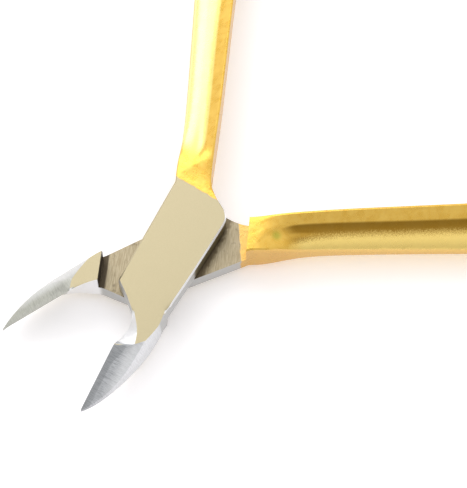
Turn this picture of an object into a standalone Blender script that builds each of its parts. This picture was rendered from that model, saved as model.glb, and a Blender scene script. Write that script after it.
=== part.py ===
"""Cuticle nipper, wide open and lying flat.

Two forged halves cross in a lap joint and turn on one pin. Each half is a handle, a joint plate and
a cutting jaw in one piece. A leaf spring is riveted inside each handle, and the two leaves push the
handles apart.

Each half is drawn in its closed position, in millimetres: X across, Y from the jaws (-) to the
handles (+), Z up from the joint's middle plane, pivot at X = Y = 0. The upper half has its jaw at +X
and its handle at -X, and the lower half is its mirror image in X with the joint recess on the other
face. Each is then turned about the pivot to the open position.
"""
import bmesh
import bpy
import math
from mathutils import Matrix, Vector

MM = 0.001

# --- driving dimensions, mm and degrees ---
PLATE_HALF_THICKNESS = 2.1      # joint, middle plane to face
HANDLE_HALF_DEPTH = 3.0         # handle, middle plane to its inner edge
OPEN_HALF_ANGLE = 18.4          # each half, closed to open
JOINT_GAP = 0.3                 # between the two lapped plates
EDGE_CLEARANCE = 0.05           # cutting edge to the closing plane
CHAMFER = 0.18                  # broken edge round the joint
PIVOT_Y = -26.693               # pivot in the object's frame, whose origin is its middle
PIVOT_Z = HANDLE_HALF_DEPTH     # the handles' lower edges rest on Z = 0

TIP_Y = -21.1
HEEL_Y = -13.3
TIP_EDGE_Z = -0.82
HEEL_EDGE_Z = 1.86
FACET_RUN = 1.5                 # length of the run-out where the ground facet meets the flat root
FACET_ROW_Y = -12.4             # station that is bent to follow the end of the flat root
FACET_ROW_REACH = 3.4           # how far towards the joint the stations are bent with it
JAW_BLEND = {"upper": (-7.0, -9.0), "lower": (-6.8, -7.5)}   # joint's square section to the jaw's
JOINT_SPAN = (-6.2, 8.3)
RIDGE_START = 0.75              # ridge from the joint's outer edge, where it starts
BEVEL_DROP = 0.36               # of the narrow bevel along the edge, per mm across

# points between two lines of a section, as shares of the way (across, down)
ROOT_SHOULDER = ((0.7, 0.35), (1.0, 0.8))
GROUND_SHOULDER = ((0.75, 0.45), (1.0, 0.9))
JAW_LOWER_SIDE = (0.75, 0.6)
JAW_LOWER_CORNER = 0.9          # from the undercut to the side
THROAT_SIDE = (0.35, 0.7)
FLUTE_SHARES = ((0.13, 0.13, 0.37), (0.42, 0.42, 0.66), (0.83, 0.83, 0.8))   # across, flat, fluted
FLUTE_START = 0.16              # flute's lowest line under the ridge, towards the outer edge
HANDLE_OUTER_BREAK = 0.1        # rounding of the handle's outer edge: across, down
HANDLE_OUTER_DROP = 0.4

HANDLE_STRAIGHT_END = (-11.4, 38.3)   # inner edge where the straight stretch ends
HANDLE_STRAIGHT_TILT = 22.2           # direction of the straight stretch, from Y
HANDLE_ARC_RADIUS = 63.0
HANDLE_ARC_SWEEP = 38.0
HANDLE_ARC_STEPS = 9
HANDLE_WIDTHS = (4.35, 5.3, 5.2, 4.0)  # neck, end of the straight, three quarters along, end
HANDLE_END_DEPTH = 2.4                # half depth where the rounded end starts
HANDLE_END_LENGTH = 2.6               # rounded end
HANDLE_END_TURNS = (30, 55, 75, 87)   # stations of the rounded end, degrees of a quarter turn
TOP_BAND_WIDTH = 1.4                  # inner edge to the ridge over the flute
RIDGE_DROP = 0.75                     # inner edge down to the ridge
FLUTE_STEP = 0.38                     # ridge down into the flute
FLUTE_OUTER_Z = 0.62                  # flute's outer edge
INNER_EDGE = ((-0.28, 0.0), (-0.06, 0.08), (0.0, 0.3))   # broken inner edge: (across, drop)

PIVOT_SHAFT_RADIUS = 1.6
PIVOT_HEAD_RADIUS = 2.7
PIVOT_HEAD_RIM = 0.3            # straight rim of the countersunk head
PIVOT_HEAD_HEIGHT = 1.1
PIVOT_HEAD_SINK = 0.05
PIVOT_BORE_DEPTH = 1.5
RUNNING_GAP = 0.3
BORE_OVERSHOOT = 1.0

SPRING_STATION = 7.5            # along the handle's arc, from its start to the spring rivet
SPRING_WIDTH = 3.4
SPRING_TIP_WIDTH = 2.1
SPRING_THICKNESS = 0.45
SPRING_FOOT = 3.2               # flat foot, each side of the rivet
SPRING_TIP_GAP = 0.3            # leaf tip to the plane between the handles
SPRING_TIP_Y = 60.0             # where the two tips meet, open, from the pivot
SPRING_START_PULL = 7.0         # how far the leaf follows the handle before it bows out
SPRING_TIP_PULL = (-8.0, -7.0)  # direction and reach in which the leaf arrives at its tip
SPRING_STEPS = 14
RIVET_SHANK_RADIUS = 0.6
RIVET_HEAD_RADIUS = 1.15
RIVET_HEAD_RIM = 0.12
RIVET_HEAD_DOME = 0.53
RIVET_DEPTH = 2.0
PIN_SIDES = 40
RIVET_SIDES = 24

# --- outline tables, straight between the points: (y, x) unless said otherwise ---
PLATE_LEFT = [(-8.9, 0.0), (-7.5, -1.7), (-6.2, -3.4), (8.1, -3.9)]
PLATE_RIGHT = [(-9.3, 3.45), (-6.9, 3.43), (-2.2, 3.7), (5.6, 3.92), (6.4, 3.86), (7.2, 3.4),
               (7.8, 2.55), (8.3, 1.66)]
# throat: (y, x) and (y, z) of its upper edge, and the line where its bevel meets the flat
THROAT_X = {"upper": [(-13.3, 0.05), (-12.7, 0.15), (-11.8, 0.36), (-10.7, 0.41), (-9.6, 0.25), (-8.9, 0.0)],
            "lower": [(-13.3, 0.05), (-12.5, 0.12), (-11.8, 0.2), (-10.0, 0.18), (-9.2, 0.0)]}
THROAT_Z = {"upper": [(-13.3, 1.86), (-12.7, 1.5), (-11.8, 1.15), (-10.7, 1.0), (-9.6, 1.4), (-8.9, 2.1)],
            "lower": [(-13.3, 1.86), (-12.5, 2.05), (-11.8, 2.1)]}
THROAT_BEVEL_X = [(-12.4, 2.2), (-10.7, 1.55), (-9.7, 0.85), (-8.9, 0.18)]
UNDERCUT_X = [(-21.1, 0.1), (-20.2, 0.45), (-18.0, 1.15), (-15.0, 1.75), (-13.3, 1.9), (-12.0, 1.6),
              (-10.5, 0.9), (-9.5, 0.3), (-8.9, 0.0)]
SIDE_X = [(-21.1, 0.14), (-20.3, 0.78), (-19.3, 1.4), (-18.0, 1.98), (-16.7, 2.46), (-15.2, 2.9),
          (-13.3, 3.35), (-11.0, 3.62), (-9.3, 3.7), (-7.5, 3.55)]
SIDE_Z = [(-21.1, -1.05), (-18.0, -0.9), (-9.3, -0.5)]
JAW_BOTTOM_Z = [(-21.1, -1.2), (-20.0, -1.4), (-17.5, -1.75), (-14.0, -2.05), (-12.0, -2.1)]
BOTTOM_BEVEL = [(-21.1, 0.0), (-17.0, 0.55)]    # (y, width) under the upper half's jaw
FACET_X = {"upper": [(-21.1, 0.12), (-20.3, 0.66), (-19.1, 1.38), (-18.0, 1.93), (-16.7, 2.38),
                     (-14.8, 2.75), (-12.0, 3.0)],
           "lower": [(-21.1, 0.12), (-20.3, 0.62), (-19.1, 1.25), (-18.0, 1.75), (-16.7, 2.15),
                     (-14.8, 2.35), (-13.2, 2.0), (-11.8, 1.4)]}
FACET_DROP = [(-21.1, 0.05), (-20.3, 0.18), (-19.1, 0.3), (-18.0, 0.38), (-14.8, 0.42), (-12.0, 0.3)]
BEVEL_X = [(-21.1, 0.09), (-20.2, 0.34), (-18.5, 0.62), (-13.3, 0.85)]
# jaw root, where the flat face ends: its outer edge (y, x), and its end towards the tip (x, y)
FLAT_OUTER = {"upper": [(-11.5, 3.0), (-10.7, 3.2), (-9.3, 3.43), (-7.0, 3.43)],
              "lower": [(-11.8, 1.28), (-11.1, 1.8), (-10.4, 2.2), (-9.6, 2.65), (-8.8, 3.0), (-7.4, 3.2)]}
FLAT_END = {"upper": [(0.4, -12.9), (1.3, -12.9), (1.8, -12.6), (2.5, -12.1), (3.0, -11.45), (3.2, -10.7)],
            "lower": [(0.0, -12.8), (0.15, -12.6), (0.68, -12.26), (1.28, -11.8)]}
# neck stations: inner edge x, y; outer edge x, y; inner z; outer z
NECK = [(0.6, 9.2, -4.25, 8.95, 2.11, 2.1), (0.05, 9.85, -4.45, 9.4, 2.18, 2.08),
        (-0.6, 11.2, -4.8, 10.3, 2.45, 1.98), (-1.15, 12.6, -5.22, 11.4, 2.75, 1.7),
        (-1.75, 14.2, -5.72, 12.85, 2.95, 1.25), (-2.6, 16.4, -6.5, 14.95, 3.0, 0.95),
        (-3.87, 19.8, -7.9, 18.16, 3.0, 0.75)]
# ridge over the flute at those stations: its distance from the inner edge, and the step under it
RIDGE = {"upper": [(4.5, 0.0), (4.2, 0.0), (3.85, 0.05), (2.5, 0.24), (1.12, 0.38), (1.1, 0.38),
                   (1.2, 0.38)],
         "lower": [(4.1, 0.0), (3.45, 0.06), (2.7, 0.15), (1.85, 0.3), (1.12, 0.38), (1.1, 0.38),
                   (1.2, 0.38)]}
# recess walls: a point on X = 0 and the common slope
WALL_SLOPE = 0.6
JAW_WALL_Y = -9.2
HANDLE_WALL_Y = {"upper": 12.25, "lower": 10.1}
RECESS_REACH = 9.0

# stations along the jaw and the joint
JAW_YS = [TIP_Y, -20.7, -20.2, -19.5, -18.6, -17.6, -16.4, -15.2, -14.2, HEEL_Y, -12.9, FACET_ROW_Y,
          -11.8, -11.0, -10.2, -9.5, -8.9, -8.2, -7.5]
JOINT_YS = [-6.9, -6.2, -4.0, -2.2, 2.0, 5.6, 6.4, 7.2, 7.8, 8.3]
POINTS_ON_FACE = 8              # of a section's top chain, and of its bottom chain


def interpolate(table, value):
    """Read a (key, value) table, straight between points and level past its ends."""
    if value <= table[0][0]:
        return table[0][1]
    for (key_a, value_a), (key_b, value_b) in zip(table, table[1:]):
        if value <= key_b:
            return value_a + (value_b - value_a) * (value - key_a) / (key_b - key_a)
    return table[-1][1]


def clamp(value):
    return min(max(value, 0.0), 1.0)


def smooth(value):
    value = clamp(value)
    return value * value * (3 - 2 * value)


def mix(a, b, weight):
    return a + (b - a) * weight


def side_sign(name):
    return 1.0 if name == "upper" else -1.0


# --- rings of (x, y, z): top chain left to right, right side, bottom chain, left side ---
def joint_ring(y):
    """The joint: a rectangle with broken edges. Its sixth point leads from the jaw's facet to the ridge."""
    left = interpolate(PLATE_LEFT, y)
    right = interpolate(PLATE_RIGHT, y)
    top = PLATE_HALF_THICKNESS
    start, end = JOINT_SPAN
    lead = mix(right - CHAMFER * 1.5, left + RIDGE_START, smooth((y - start) / (end - start)))
    upper = [(mix(left + CHAMFER, lead, i / 5), y, top) for i in range(6)]
    corner = 1.0 if y > start - CHAMFER else 0.5
    upper += [(right - CHAMFER * corner, y, top - CHAMFER * (1 - corner)), (right, y, top - CHAMFER)]
    right_side = [(right, y, 0.0), (right, y, CHAMFER - top)]
    last = POINTS_ON_FACE - 1
    lower = [(mix(right - CHAMFER, left + CHAMFER, i / last), y, -top) for i in range(POINTS_ON_FACE)]
    left_side = [(left, y, CHAMFER - top), (left, y, top - CHAMFER)]
    return upper + right_side + lower + left_side


def edge_height(y):
    """Height of the line through the cutting edge."""
    return mix(TIP_EDGE_Z, HEEL_EDGE_Z, (y - TIP_Y) / (HEEL_Y - TIP_Y))


def inner_edge(name, y):
    """The jaw's inner upper edge: the joint's side, then the throat, then the cutting edge."""
    if y < HEEL_Y:
        return EDGE_CLEARANCE, edge_height(y)
    if y > PLATE_LEFT[0][0]:
        return interpolate(PLATE_LEFT, y), PLATE_HALF_THICKNESS
    return interpolate(THROAT_X[name], y), interpolate(THROAT_Z[name], y)


def root_points(name, y):
    """Top chain of the jaw's root: throat edge, its bevel, the flat face, and the rounded shoulder."""
    inner_x, inner_z = inner_edge(name, y)
    outer = interpolate(FLAT_OUTER[name], y)
    side_x = interpolate(SIDE_X, y)
    side_z = interpolate(SIDE_Z, y)
    bevel = inner_x + CHAMFER
    if name == "upper" and y < PLATE_LEFT[0][0]:
        bevel = interpolate(THROAT_BEVEL_X, y)
    top = PLATE_HALF_THICKNESS
    points = [(inner_x, inner_z)]
    points += [(mix(bevel, outer, i / 4), top) for i in range(5)]
    points += [(mix(outer, side_x, across), mix(top, side_z, down)) for across, down in ROOT_SHOULDER]
    return points


def ground_points(name, y):
    """Top chain of the ground jaw: cutting edge, narrow bevel, main facet and rounded side."""
    inner_x, inner_z = inner_edge(name, y)
    side_x = interpolate(SIDE_X, y)
    side_z = interpolate(SIDE_Z, y)
    drop = interpolate(FACET_DROP, y)
    facet_x = interpolate(FACET_X[name], y)
    bevel_x = interpolate(BEVEL_X, y)
    edge_z = min(edge_height(y), PLATE_HALF_THICKNESS)
    bevel_z = edge_z - BEVEL_DROP * bevel_x
    facet_z = edge_z - drop
    points = [(inner_x, inner_z)]
    points += [(mix(bevel_x, facet_x, i / 4), mix(bevel_z, facet_z, i / 4)) for i in range(5)]
    for across, down in GROUND_SHOULDER:
        points.append((mix(facet_x, side_x, across), mix(facet_z, side_z, down)))
    return points


def bend_weight(y):
    """How far a station follows the curved end of the flat root: fully at FACET_ROW_Y."""
    if y < FACET_ROW_Y:
        return clamp((y - HEEL_Y) / (FACET_ROW_Y - HEEL_Y))
    return clamp(1 - (y - FACET_ROW_Y) / FACET_ROW_REACH)


def jaw_ring(name, y):
    """A jaw station, with its top chain bent to follow the end of the flat root."""
    top_chain = []
    bend = bend_weight(y)
    for i, (x, _) in enumerate(root_points(name, y)):
        flat_x = min(x, interpolate(FLAT_OUTER[name], y))
        end_y = interpolate(FLAT_END[name], flat_x)
        point_y = y + bend * (end_y - FACET_ROW_Y)
        root_x, root_z = root_points(name, point_y)[i]
        ground_x, ground_z = ground_points(name, point_y)[i]
        run = clamp((end_y - point_y) / FACET_RUN)
        weight = 1 - (1 - run) ** 2
        top_chain.append((mix(root_x, ground_x, weight), point_y, mix(root_z, ground_z, weight)))
    side_x, side_y, _ = top_chain[-1]
    side_z = interpolate(SIDE_Z, y)
    bottom = interpolate(JAW_BOTTOM_Z, y)
    inner_x = top_chain[0][0]
    undercut = interpolate(UNDERCUT_X, y) if y < PLATE_LEFT[0][0] else inner_x
    corner = mix(undercut, side_x, JAW_LOWER_CORNER)
    if name == "upper":
        corner -= interpolate(BOTTOM_BEVEL, y)
    across, down = JAW_LOWER_SIDE
    right_side = [(side_x, mix(side_y, y, 0.3), side_z - EDGE_CLEARANCE),
                  (mix(corner, side_x, across), mix(side_y, y, 0.7), mix(side_z, bottom, down))]
    last = POINTS_ON_FACE - 1
    lower = [(mix(undercut, corner, i / last), y, bottom) for i in range(last, -1, -1)]
    edge_y, edge_z = top_chain[0][1:]
    left_side = [(mix(undercut, inner_x, t), mix(y, edge_y, t), mix(bottom, edge_z, t)) for t in THROAT_SIDE]
    ring = top_chain + right_side + lower + left_side
    start, end = JAW_BLEND[name]
    return blend_rings(joint_ring(y), ring, smooth((start - y) / (start - end)))


def blend_rings(ring_a, ring_b, weight):
    return [tuple(Vector(point_a).lerp(Vector(point_b), weight)) for point_a, point_b in zip(ring_a, ring_b)]


def handle_ring(inner, outer, inner_z, outer_z, ridge, step):
    """Neck or handle: broken inner edge, sloping band, ridge, shallow flute and a rounded outer side."""
    inner = Vector(inner)
    outer = Vector(outer)
    width = (outer - inner).length
    across = (outer - inner) / width
    flute = step / FLUTE_STEP
    ridge_z = inner_z - RIDGE_DROP * flute * ridge_share(inner_z)
    edge = width - mix(CHAMFER, HANDLE_OUTER_BREAK, flute)
    hollow = mix(ridge, edge, FLUTE_START)
    hollow_z = ridge_z - step
    chain = [(edge, outer_z)]
    for place, flat_rise, flute_rise in FLUTE_SHARES:
        rise = mix(flat_rise, flute_rise, flute)
        chain.append((mix(edge, hollow, place), mix(outer_z, hollow_z, rise)))
    chain += [(hollow, hollow_z), (ridge, ridge_z)]
    (band_in, band_drop), (edge_in, edge_drop), (side_in, side_drop) = INNER_EDGE
    chain += [(-band_in, inner_z - band_drop), (-edge_in, inner_z - edge_drop)]
    side = (-side_in, inner_z - side_drop)
    outer_side = (width, outer_z - mix(CHAMFER, HANDLE_OUTER_DROP, flute))
    ring = chain + [side, (side[0], -side[1])] + [(s, -z) for s, z in reversed(chain)]
    ring += [(outer_side[0], -outer_side[1]), outer_side]
    return [(inner.x + across.x * s, inner.y + across.y * s, z) for s, z in ring]


def ridge_share(inner_z):
    """The ridge lies in the plate's plane at the joint and drops as the handle deepens."""
    return clamp((inner_z - PLATE_HALF_THICKNESS) / (HANDLE_HALF_DEPTH - PLATE_HALF_THICKNESS))


# --- the handle's inner edge past the neck ---
def handle_path(distance):
    """A straight stretch, then an arc that turns back inwards: x, y and direction from Y in degrees."""
    start = Vector(NECK[-1][:2])
    end = Vector(HANDLE_STRAIGHT_END)
    straight = (end - start).length
    if distance <= straight:
        point = start.lerp(end, distance / straight)
        return point.x, point.y, HANDLE_STRAIGHT_TILT
    return arc_point(distance - straight)


def arc_point(distance):
    tilt = HANDLE_STRAIGHT_TILT - math.degrees(distance / HANDLE_ARC_RADIUS)
    start_tilt = math.radians(HANDLE_STRAIGHT_TILT)
    end_tilt = math.radians(tilt)
    x = HANDLE_STRAIGHT_END[0] - HANDLE_ARC_RADIUS * (math.cos(end_tilt) - math.cos(start_tilt))
    y = HANDLE_STRAIGHT_END[1] + HANDLE_ARC_RADIUS * (math.sin(start_tilt) - math.sin(end_tilt))
    return x, y, tilt


def straight_length():
    return (Vector(HANDLE_STRAIGHT_END) - Vector(NECK[-1][:2])).length


def arc_length():
    return HANDLE_ARC_RADIUS * math.radians(HANDLE_ARC_SWEEP)


def handle_ring_at(distance):
    whole = straight_length() + arc_length()
    x, y, tilt = handle_path(distance)
    width = interpolate(list(zip((0, straight_length(), whole * 0.75, whole), HANDLE_WIDTHS)), distance)
    depth = interpolate([(whole * 0.7, HANDLE_HALF_DEPTH), (whole, HANDLE_END_DEPTH)], distance)
    ridge = interpolate([(0, RIDGE["upper"][-1][0]), (straight_length() / 2, TOP_BAND_WIDTH)], distance)
    outer = (x - width * math.cos(math.radians(tilt)), y - width * math.sin(math.radians(tilt)))
    outer_z = interpolate([(0, NECK[-1][5]), (straight_length() / 2, FLUTE_OUTER_Z)], distance)
    return handle_ring((x, y), outer, depth, outer_z, ridge, FLUTE_STEP)


# --- stations ---
def jaw_rings(name):
    return [jaw_ring(name, y) for y in JAW_YS]


def joint_rings():
    return [joint_ring(y) for y in JOINT_YS]


def neck_rings(name):
    rings = []
    for (inner_x, inner_y, outer_x, outer_y, inner_z, outer_z), (ridge, step) in zip(NECK, RIDGE[name]):
        rings.append(handle_ring((inner_x, inner_y), (outer_x, outer_y), inner_z, outer_z, ridge, step))
    return rings


def handle_rings():
    straight = straight_length()
    steps = [straight * t for t in (0.25, 0.5, 0.75, 1.0)]
    steps += [straight + arc_length() * t / HANDLE_ARC_STEPS for t in range(1, HANDLE_ARC_STEPS + 1)]
    rings = [handle_ring_at(distance) for distance in steps]
    last = [Vector(point) for point in rings[-1]]
    middle = sum(last, Vector()) / len(last)
    tilt = math.radians(handle_path(steps[-1])[2])
    ahead = Vector((-math.sin(tilt), math.cos(tilt), 0.0))
    for turn in HANDLE_END_TURNS:
        shrink = math.cos(math.radians(turn))
        reach = ahead * HANDLE_END_LENGTH * math.sin(math.radians(turn))
        rings.append([tuple(middle + (point - middle) * shrink + reach) for point in last])
    return rings


def half_rings(name):
    """Every station of one half, from the tip to the handle's end, drawn as an upper half."""
    return jaw_rings(name) + joint_rings() + neck_rings(name) + handle_rings()


# --- Blender helpers ---
def clear_scene():
    for item in list(bpy.data.objects):
        bpy.data.objects.remove(item, do_unlink=True)


def new_collection(name):
    collection = bpy.data.collections.new(name)
    bpy.context.scene.collection.children.link(collection)
    return collection


def new_material(name, colour, roughness, metallic):
    material = bpy.data.materials.new(name)
    material.use_nodes = True
    shader = material.node_tree.nodes["Principled BSDF"]
    shader.inputs["Base Color"].default_value = (*colour, 1.0)
    shader.inputs["Roughness"].default_value = roughness
    shader.inputs["Metallic"].default_value = metallic
    return material


def mesh_object(name, bm, collection, material=None):
    bmesh.ops.recalc_face_normals(bm, faces=bm.faces)
    mesh = bpy.data.meshes.new(name)
    bm.to_mesh(mesh)
    bm.free()
    item = bpy.data.objects.new(name, mesh)
    collection.objects.link(item)
    if material:
        mesh.materials.append(material)
    return item


def loft(rings):
    """Join rings of equal length with quads and close both ends."""
    bm = bmesh.new()
    rows = [[bm.verts.new(point) for point in ring] for ring in rings]
    count = len(rings[0])
    for row_a, row_b in zip(rows, rows[1:]):
        for i in range(count):
            j = (i + 1) % count
            bm.faces.new((row_a[i], row_a[j], row_b[j], row_b[i]))
    bm.faces.new(rows[0][::-1])
    bm.faces.new(rows[-1])
    return bm


def cylinder(radius, z_low, z_high, sides):
    bm = bmesh.new()
    bmesh.ops.create_cone(bm, cap_ends=True, segments=sides, radius1=radius * MM, radius2=radius * MM,
                          depth=(z_high - z_low) * MM)
    bmesh.ops.translate(bm, verts=bm.verts, vec=(0, 0, (z_low + z_high) / 2 * MM))
    return bm


def turned(name, profile, sides, collection, material=None):
    """Solid of revolution about Z from (radius, z) points that run from top to bottom."""
    mesh = bpy.data.meshes.new(name)
    verts = [(radius * MM, 0, z * MM) for radius, z in profile]
    mesh.from_pydata(verts, [(i, i + 1) for i in range(len(verts) - 1)], [])
    item = bpy.data.objects.new(name, mesh)
    collection.objects.link(item)
    if material:
        mesh.materials.append(material)
    screw = item.modifiers.new("turn", "SCREW")
    screw.axis = "Z"
    screw.angle = 2 * math.pi
    screw.steps = sides
    screw.render_steps = sides
    screw.use_merge_vertices = True
    screw.merge_threshold = 0.00001
    return item


def cut(item, cutter):
    cutter.hide_render = True
    cutter.display_type = "WIRE"
    modifier = item.modifiers.new(cutter.name, "BOOLEAN")
    modifier.operation = "DIFFERENCE"
    modifier.object = cutter


# --- placing ---
def half_matrix(name):
    """Closed position to the open position in the object's frame."""
    turn = math.radians(OPEN_HALF_ANGLE) * side_sign(name)
    return Matrix.Translation((0, PIVOT_Y * MM, PIVOT_Z * MM)) @ Matrix.Rotation(turn, 4, "Z")


def recess(name):
    """Block that clears the lap recess, between the wall at the jaw and the wall at the handle."""
    low = -JOINT_GAP / 2
    high = PLATE_HALF_THICKNESS + BORE_OVERSHOOT * 2
    if name == "upper":
        low, high = -high, -low
    bm = bmesh.new()
    bmesh.ops.create_cube(bm, size=2.0)
    for vert in bm.verts:
        x = vert.co.x * RECESS_REACH
        wall_y = JAW_WALL_Y if vert.co.y < 0 else HANDLE_WALL_Y[name]
        z = low if vert.co.z < 0 else high
        vert.co = Vector((x * side_sign(name), wall_y + WALL_SLOPE * x, z)) * MM
    return bm


def half(name, parts, cutters, material):
    """One forged half: the lofted body, less the recess, the pivot hole and the spring rivet's hole."""
    sign = side_sign(name)
    rings = [[Vector((x * sign, y, z)) * MM for x, y, z in ring] for ring in half_rings(name)]
    item = mesh_object(name + "_half", loft(rings), parts, material)
    item.matrix_world = half_matrix(name)
    clearing = mesh_object(name + "_recess", recess(name), cutters)
    if name == "upper":
        bore = cylinder(PIVOT_SHAFT_RADIUS + RUNNING_GAP, -BORE_OVERSHOOT, PIVOT_BORE_DEPTH, PIN_SIDES)
        hole = mesh_object(name + "_pivot_hole", bore, cutters)
    else:
        top = PLATE_HALF_THICKNESS
        profile = pivot_profile(RUNNING_GAP, top, -top - BORE_OVERSHOOT)
        hole = turned(name + "_pivot_hole", profile, PIN_SIDES, cutters)
    rivet_hole = mesh_object(name + "_rivet_hole", rivet_bore(-RIVET_DEPTH - RUNNING_GAP), cutters)
    clearing.matrix_world = half_matrix(name)
    hole.matrix_world = half_matrix(name)
    rivet_hole.matrix_world = rivet_matrix(name)
    for cutter in (clearing, hole, rivet_hole):
        cut(item, cutter)
    return item


# --- pivot ---
def pivot_profile(grow, top, bottom):
    """Shaft over a countersunk head in the lower face, grown by a clearance, from top to bottom."""
    head = PIVOT_HEAD_RADIUS + grow
    shaft = PIVOT_SHAFT_RADIUS + grow
    face = -PLATE_HALF_THICKNESS + PIVOT_HEAD_SINK
    return [(0, top), (shaft, top), (shaft, face + PIVOT_HEAD_HEIGHT), (head, face + PIVOT_HEAD_RIM),
            (head, bottom), (0, bottom)]


def pivot_pin(parts, material):
    profile = pivot_profile(0, PIVOT_BORE_DEPTH - RUNNING_GAP, -PLATE_HALF_THICKNESS + PIVOT_HEAD_SINK)
    item = turned("pivot_pin", profile, PIN_SIDES, parts, material)
    item.matrix_world = half_matrix("upper")


# --- springs ---
def rivet_matrix(name):
    """Frame of the spring's rivet: X along the handle, Z out of the handle's inner side."""
    sign = side_sign(name)
    x, y, tilt = arc_point(SPRING_STATION)
    turn = math.radians(tilt)
    outward = Vector((math.cos(turn) * sign, math.sin(turn), 0))
    along = Vector((-math.sin(turn) * sign, math.cos(turn), 0))
    axes = Matrix((along, outward.cross(along), outward)).transposed().to_4x4()
    return half_matrix(name) @ Matrix.Translation((x * sign * MM, y * MM, 0)) @ axes


def rivet_bore(z_low):
    return cylinder(RIVET_SHANK_RADIUS + RUNNING_GAP, z_low, BORE_OVERSHOOT * 2, RIVET_SIDES)


def rivet(name, parts, material):
    """Round-headed rivet: its head sits over the leaf, its shank goes through it into the handle."""
    base = RUNNING_GAP * 2 + SPRING_THICKNESS
    rim = base + RIVET_HEAD_RIM
    dome = []
    for turn in (90, 60, 30, 0):
        angle = math.radians(turn)
        dome.append((RIVET_HEAD_RADIUS * math.cos(angle), rim + RIVET_HEAD_DOME * math.sin(angle)))
    dome[0] = (0, dome[0][1])
    profile = dome + [(RIVET_HEAD_RADIUS, base), (RIVET_SHANK_RADIUS, base),
                      (RIVET_SHANK_RADIUS, -RIVET_DEPTH), (0, -RIVET_DEPTH)]
    item = turned("spring_rivet_" + name, profile, RIVET_SIDES, parts, material)
    item.matrix_world = rivet_matrix(name)


def leaf_line(name):
    """Middle line of the leaf in the object's frame, mm: foot, bow and tip."""
    matrix = rivet_matrix("upper")
    origin = matrix.translation / MM
    along = matrix.to_3x3() @ Vector((1, 0, 0))
    outward = matrix.to_3x3() @ Vector((0, 0, 1))
    lift = outward * (RUNNING_GAP + SPRING_THICKNESS / 2)
    foot = origin + along * SPRING_FOOT + lift
    tip = Vector((-SPRING_TIP_GAP - SPRING_THICKNESS / 2, PIVOT_Y + SPRING_TIP_Y, PIVOT_Z))
    pull_a = foot + along * SPRING_START_PULL
    pull_b = tip + Vector((*SPRING_TIP_PULL, 0))
    line = [origin - along * SPRING_FOOT + lift, foot]
    for i in range(1, SPRING_STEPS + 1):
        t = i / SPRING_STEPS
        u = 1 - t
        line.append(foot * u ** 3 + pull_a * 3 * u * u * t + pull_b * 3 * u * t * t + tip * t ** 3)
    return [Vector((point.x * side_sign(name), point.y, point.z)) for point in line]


def leaf(name, parts, cutters, material):
    """Flat strip bent along its middle line, narrowing to its tip, with a hole for the rivet."""
    line = leaf_line(name)
    count = len(line)
    rings = []
    for i, point in enumerate(line):
        ahead = (line[min(i + 1, count - 1)] - line[max(i - 1, 0)]).normalized()
        across = Vector((-ahead.y, ahead.x, 0)) * SPRING_THICKNESS / 2
        up = Vector((0, 0, mix(SPRING_WIDTH, SPRING_TIP_WIDTH, smooth((i - 1) / (count - 2))) / 2))
        rings.append([corner * MM for corner in (point - across - up, point + across - up,
                                                 point + across + up, point - across + up)])
    item = mesh_object("spring_leaf_" + name, loft(rings), parts, material)
    hole = mesh_object(name + "_leaf_hole", rivet_bore(-BORE_OVERSHOOT), cutters)
    hole.matrix_world = rivet_matrix(name)
    cut(item, hole)


def build():
    clear_scene()
    parts = new_collection("cuticle_nipper")
    cutters = new_collection("cuticle_nipper_cutters")
    plated = new_material("gold_plated_steel", (0.86, 0.62, 0.22), 0.25, 1.0)
    steel = new_material("bright_steel", (0.72, 0.70, 0.66), 0.3, 1.0)
    spring_steel = new_material("spring_steel", (0.6, 0.6, 0.6), 0.3, 1.0)
    for name in ("upper", "lower"):
        half(name, parts, cutters, plated)
        rivet(name, parts, steel)
        leaf(name, parts, cutters, spring_steel)
    pivot_pin(parts, steel)


build()
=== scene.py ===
"""Looks of the cuticle nipper: fine meshes, metal finishes, floor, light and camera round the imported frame.

The two forged halves are rebuilt here as smooth meshes from the CAD model's sections, except that the
neck's sections differ in the heights of their edges and the ridge over the flute. Each half is drawn
closed, in millimetres: X across, Y from the jaws (-) to the handles (+), Z up from the joint's middle
plane, pivot at X = Y = 0, and then turned to its open place.
"""

import math

import bmesh
import bpy
from mathutils import Matrix, Vector


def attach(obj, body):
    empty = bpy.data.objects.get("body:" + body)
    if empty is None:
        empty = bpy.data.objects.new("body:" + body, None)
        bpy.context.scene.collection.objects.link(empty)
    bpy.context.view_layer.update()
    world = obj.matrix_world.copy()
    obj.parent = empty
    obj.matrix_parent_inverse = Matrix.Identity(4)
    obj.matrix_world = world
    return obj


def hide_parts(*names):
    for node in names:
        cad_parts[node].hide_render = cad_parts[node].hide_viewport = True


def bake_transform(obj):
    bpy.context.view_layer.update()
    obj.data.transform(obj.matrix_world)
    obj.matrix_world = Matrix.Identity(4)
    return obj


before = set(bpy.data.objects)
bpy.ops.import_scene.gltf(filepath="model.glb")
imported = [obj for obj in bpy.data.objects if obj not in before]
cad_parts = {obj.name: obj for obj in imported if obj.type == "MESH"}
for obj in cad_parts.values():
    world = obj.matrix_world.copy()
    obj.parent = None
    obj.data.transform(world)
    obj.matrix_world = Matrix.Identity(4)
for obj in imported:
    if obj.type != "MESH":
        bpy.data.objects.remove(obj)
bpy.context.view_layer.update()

MM = 0.001

# --- driving dimensions, mm and degrees ---
PLATE_HALF_THICKNESS = 2.1      # joint, middle plane to face
HANDLE_HALF_DEPTH = 3.0         # handle, middle plane to its inner edge
OPEN_HALF_ANGLE = 18.4          # each half, closed to open
JOINT_GAP = 0.3                 # between the two lapped plates
EDGE_CLEARANCE = 0.05           # cutting edge to the closing plane
CHAMFER = 0.18                  # broken edge round the joint
PIVOT_Y = -26.693               # pivot in the object's frame, whose origin is its middle
PIVOT_Z = HANDLE_HALF_DEPTH     # the handles' lower edges rest on Z = 0

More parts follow.
